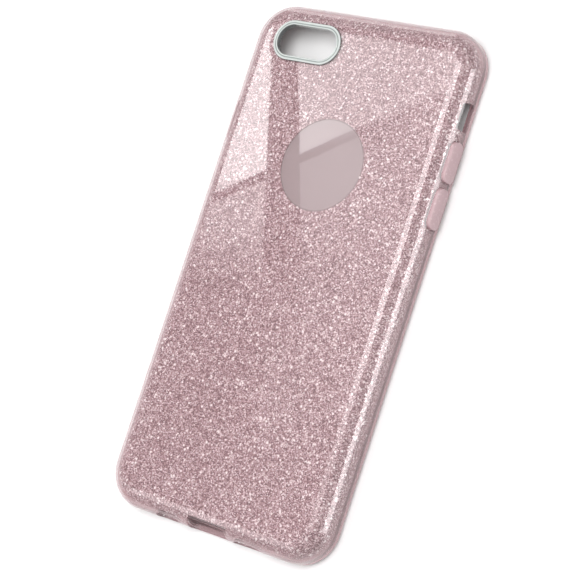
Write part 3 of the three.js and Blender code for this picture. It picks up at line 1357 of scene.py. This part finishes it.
@dataclass
class Web:
    """The thin wall behind one or two pads, with a hole for each stem."""

    name: str
    side: Side
    span: Opening
    pads: Sequence[Opening]
    sizes: CaseSizes
    mould: Mould
    edge_radius: float = 0.04 * MM

    def build(self) -> bpy.types.Object:
        """The web."""
        sizes, mould = self.sizes, self.mould
        web = mould.slab(self.name, sizes.web_front_depth, 0.0)
        web.cut(mould.slab("back", sizes.web_back_depth, -CLEAR))
        web.keep(mould.side_bar(self.span.grown(sizes.web_margin), self.side))
        for outline in self.pads:
            hole = outline.grown(sizes.web_gap - sizes.stem_inset)
            web.cut(mould.side_bar(hole, self.side))
        return web.tidy().soften(self.edge_radius).body


# ---------------------------------------------------------------- the studio


@dataclass(frozen=True)
class Lamp:
    """A soft square lamp: where it hangs, the length of its sides and its power in watts."""

    name: str
    place: Triple
    power: float
    size: float = 0.5


@dataclass(frozen=True)
class Card:
    """A glowing card: two corners, its turn about its middle in degrees, and its brightness."""

    name: str
    low: Triple
    high: Triple
    turn: Triple = (0, 0, 0)
    glow: float = 1.0


@dataclass(frozen=True)
class Line:
    """A straight line on the back, by a point on it and its normal, in millimetres."""

    x: float
    y: float
    normal_x: float
    normal_y: float
    size: float

    def beyond(self, x: Signal, y: Signal) -> Signal:
        """How far a place lies beyond the line."""
        return (self.normal_x * (x - self.x) + self.normal_y * (y - self.y)) / self.size


@dataclass(frozen=True)
class Glow:
    """A brightness that is reached over a stretch, in millimetres."""

    full: float
    between: Span

    def at(self, bench: Bench, value: Signal) -> Signal:
        """The brightness at a place."""
        return self.full * bench.rise(value, *self.between)


@dataclass(frozen=True)
class WindowLight:
    """The window that the back mirrors: panes on either side of a bar, and a slanting bead.

    All places are in millimetres on the back.
    """

    bar_left: Line = Line(-26, 53, 41, 14, 43.3)
    bar_right: Line = Line(-16.6, 53, 41, 16.6, 44.2)
    slant: Line = Line(-31, 13, -0.655, 1, 1.195)
    bar_left_edge: Span = (-0.2, 0.3)
    bar_right_edge: Span = (-0.25, 0.25)
    bar_fade: Span = (-30, 0)
    right_edge: Span = (0.4, 2.4)
    bead_edge: Span = (1.0, 1.6)
    bead_fade: Glow = Glow(0.75, (-4, 20))
    above_edge: Span = (-0.6, 0.6)
    left_low: Glow = Glow(1.5, (-12, 14))
    left_high: Glow = Glow(4.5, (2, 24))
    right_foot: Glow = Glow(0.3, (-60, -20))
    right_low: Glow = Glow(0.5, (-26, 30))
    right_high: float = 1.6
    right_fade: Glow = Glow(0.6, (-10, 16))
    top_edge: Span = (63.4, 64.6)
    everywhere: float = 0.1

    def brightness(self, bench: Bench, x: Signal, y: Signal) -> Signal:
        """The brightness that the back mirrors at a place.

        Args:
            bench: The card's bench.
            x: The place's X on the back.
            y: The place's Y on the back.

        Returns:
            The brightness.
        """
        from_left = self.bar_left.beyond(x, y)
        past_bar = bench.rise(self.bar_right.beyond(x, y), *self.bar_right_edge)
        bar = bench.rise(from_left, *self.bar_left_edge) * (1 - past_bar)
        right = bench.rise(from_left, *self.right_edge)
        slant = self.slant.beyond(x, y)
        above = bench.rise(slant, *self.above_edge)
        strength = 1 - self.bead_fade.at(bench, x)
        bead = 1 - (1 - bench.rise(abs(slant), *self.bead_edge)) * strength
        left = self.left_low.at(bench, y) * (1 - above) + self.left_high.at(bench, y) * above
        right_low = self.right_foot.at(bench, y) + self.right_low.at(bench, y)
        right_high = right_low + (self.right_high - self.right_fade.at(bench, x)) * above
        lit = (left * (1 - right) + right_high * right) * bead
        lit = lit * (1 - bar * bench.rise(y, *self.bar_fade))
        return lit * (1 - bench.rise(y, *self.top_edge)) + self.everywhere


@dataclass(frozen=True)
class StripLight:
    """The light that the long rim mirrors, wider and brighter towards the camera end."""

    left: float = -0.165
    right: float = 0.110
    left_shift: Glow = Glow(0.045, (0.100, 0.170))
    right_shift: Glow = Glow(0.030, (0.050, 0.120))
    edge: Span = (-0.008, 0.008)
    foot: float = 1.3
    head: Glow = Glow(2.5, (-0.04, 0.05))

    def brightness(self, bench: Bench) -> Signal:
        """The brightness over the card, in its own coordinates."""
        x, y, _ = bench.axes(bench.place())
        left = x - self.left + self.left_shift.at(bench, y)
        right = x - self.right + self.right_shift.at(bench, y)
        inside = bench.rise(left, *self.edge) * (1 - bench.rise(right, *self.edge))
        return inside * (self.foot + self.head.at(bench, y))


LAMPS = (
    Lamp("key_lamp", (0.18, 0.08, 0.70), 3.6),
    Lamp("fill_lamp", (-0.45, -0.25, 0.60), 2.5),
)
WINDOW_CARD = Card("window_card", (-0.37, -0.13, 0.409), (-0.19, 0.20, 0.409))
STRIP_CARD = Card("strip_card", (-0.23, -0.11, 0.43), (0.13, 0.19, 0.43))
PLAIN_CARDS = (
    Card("side_card", (0.31, -0.10, 0.09), (0.49, 0.18, 0.09), (0, 90, 0), 4.6),
    Card("foot_card", (0.070, -0.10, 0.003), (0.395, 0.18, 0.003), (0, 0, 0), 3.4),
    Card("far_card", (-0.53, -0.30, 0.13), (-0.31, 0.25, 0.13), (0, 90, 0), 1.2),
    Card("end_card", (-0.36, 0.35, 0.07), (-0.10, 0.49, 0.07), (90, 0, 0), 1.9),
    Card("near_card", (-0.42, -0.50, 0.41), (-0.16, -0.14, 0.41), (0, 0, 0), 1.6),
)


@dataclass
class Studio:
    """The floor, the lamps, the cards that show only in gloss, and the camera."""

    eye: Triple = (0.28210, -0.04951, 0.41024)
    aim: Triple = (0.00251, -0.00471, 0.00920)
    roll: float = 64.4014
    lens: float = 119.805
    film_width: float = 36.0
    back_height: float = 9.2 * MM
    sky: float = 0.5
    floor_size: float = 6
    floor_depth: float = 0.02 * MM
    floor_grain: float = 4.0

    def camera(self) -> None:
        """The camera at the viewing angle."""
        data = bpy.data.cameras.new("camera")
        data.lens = self.lens
        data.sensor_width = self.film_width
        camera = bpy.data.objects.new("camera", data)
        bpy.context.scene.collection.objects.link(camera)
        camera.location = self.eye
        camera.rotation_mode = "QUATERNION"
        towards = (Vector(self.aim) - Vector(self.eye)).to_track_quat("-Z", "Y")
        camera.rotation_quaternion = towards @ Quaternion((0, 0, 1), -math.radians(self.roll))
        bpy.context.scene.camera = camera

    def world(self) -> None:
        """An even pale sky."""
        world = bpy.data.worlds.new("studio")
        world.use_nodes = True
        world.node_tree.nodes.clear()
        bench = Bench(world.node_tree)
        sky = bench.add(
            "ShaderNodeBackground", {}, {"Color": (1, 1, 1, 1), "Strength": self.sky}
        )
        bench.add("ShaderNodeOutputWorld", {}, {"Surface": sky})
        bpy.context.scene.world = world
        bpy.context.scene.view_settings.view_transform = "Standard"

    def floor(self) -> None:
        """A plain pale floor."""
        Workpiece.clear_selection()
        bpy.ops.mesh.primitive_plane_add(size=self.floor_size, location=(0, 0, -self.floor_depth))
        floor = Workpiece.taken("floor").body
        material, bench = Bench.material("pale_floor")
        grain = bench.noise(bench.place(), self.floor_grain, 2.0)
        colour = bench.blend(grain, (0.95, 0.95, 0.95), (0.93, 0.93, 0.93))
        bench.surface(bench.add("ShaderNodeBsdfDiffuse", {}, {"Color": colour, "Roughness": 0.6}))
        dress(floor, material)

    @staticmethod
    def hang(lamp: Lamp) -> None:
        """Hangs a lamp that shines at the case and doesn't show in its gloss."""
        data = bpy.data.lights.new(lamp.name, "AREA")
        data.shape = "SQUARE"
        data.size = lamp.size
        data.energy = lamp.power
        body = bpy.data.objects.new(lamp.name, data)
        bpy.context.scene.collection.objects.link(body)
        body.location = lamp.place
        body.rotation_mode = "QUATERNION"
        body.rotation_quaternion = (-Vector(lamp.place)).to_track_quat("-Z", "Y")
        body.visible_glossy = False
        body.visible_camera = False

    @staticmethod
    def put(card: Card, pattern: Callable[[Bench], Signal] | None = None) -> None:
        """Puts up a card that shows only in gloss.

        Args:
            card: The card.
            pattern: Gives its brightness where that isn't even.
        """
        Workpiece.clear_selection()
        middle = [(a + b) / 2 for a, b in zip(card.low, card.high)]
        turn = [math.radians(angle) for angle in card.turn]
        bpy.ops.mesh.primitive_plane_add(size=1, location=middle, rotation=turn)
        width, length, _ = (b - a for a, b in zip(card.low, card.high))
        bpy.context.object.scale = (width, length, 1)
        body = Workpiece.taken(card.name).body
        material, bench = Bench.material(card.name)
        feeds = {"Color": (1, 1, 1, 1), "Strength": pattern(bench) if pattern else card.glow}
        bench.surface(bench.add("ShaderNodeEmission", inputs=feeds))
        dress(body, material)
        body.visible_camera = False
        body.visible_diffuse = False
        body.visible_shadow = False

    def window_pattern(self, bench: Bench) -> Signal:
        """The brightness of the window card, drawn where the flat back mirrors it.

        Args:
            bench: The card's bench.

        Returns:
            The brightness.
        """
        mirrored_eye = 2 * self.back_height - self.eye[2]
        spread = (WINDOW_CARD.low[2] - mirrored_eye) / (self.back_height - mirrored_eye)
        card_x, card_y, _ = bench.axes(bench.place())
        x = (card_x - self.eye[0] * (1 - spread)) * (1 / MM / spread)
        y = (card_y - self.eye[1] * (1 - spread)) * (1 / MM / spread)
        return WindowLight().brightness(bench, x, y)

    def build(self) -> None:
        """Sets everything up."""
        self.camera()
        self.world()
        self.floor()
        for lamp in LAMPS:
            self.hang(lamp)
        self.put(WINDOW_CARD, self.window_pattern)
        self.put(STRIP_CARD, StripLight().brightness)
        for card in PLAIN_CARDS:
            self.put(card)


# ---------------------------------------------------------------- assembly


def main() -> None:
    """Builds the case and the studio."""
    logging.basicConfig(level=logging.INFO, format="%(name)s %(message)s")
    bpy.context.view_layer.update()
    sizes = CaseSizes.from_frame()
    mould = Mould(sizes)
    pads = {
        name: pad_outline(name)
        for name in ("volume_up_button", "volume_down_button", "power_button")
    }
    layers = Layers(sizes, mould, pads)

    fit(layers.build_shell(), SHELL_FINISH.make(), Body.CASE, Slot.SHELL, "outer_shell")
    film = layers.build_film()
    fit(film, GlitterFinish().make(), Body.CASE, Slot.FILM, "glitter_sheet")
    fit(Flakes(film, sizes).build(), FlakeFinish().make(), Body.CASE, Slot.FILM)
    fit(layers.build_plate(), PLATE_FINISH.make(), Body.CASE, Slot.PLATE, "inner_plate")
    fit(CameraCollar().build(), CollarFinish().make(), Body.CASE, Slot.COLLAR, "camera_ring")

    silicone = PadFinish().make()
    for name, body, side, proud in (
        ("volume_up_pad", Body.VOLUME_UP, Side.VOLUME, sizes.pad_proud),
        ("volume_down_pad", Body.VOLUME_DOWN, Side.VOLUME, sizes.pad_proud),
        ("power_pad", Body.POWER, Side.POWER, sizes.power_proud),
    ):
        press = PressPad(name, body, side, sizes, mould, proud)
        fit(press.build(), silicone, body, Slot.PAD, press.node)

    for (side, span), name in zip(layers.web_spans(), ("volume_web", "power_web")):
        outlines = [o for n, o in pads.items() if n.startswith(name.split("_")[0])]
        web = Web(f"{name}_thin", side, span, outlines, sizes, mould)
        fit(web.build(), silicone, Body.CASE, Slot.PAD, name)

    Studio().build()


if __name__ == "__main__":
    main()
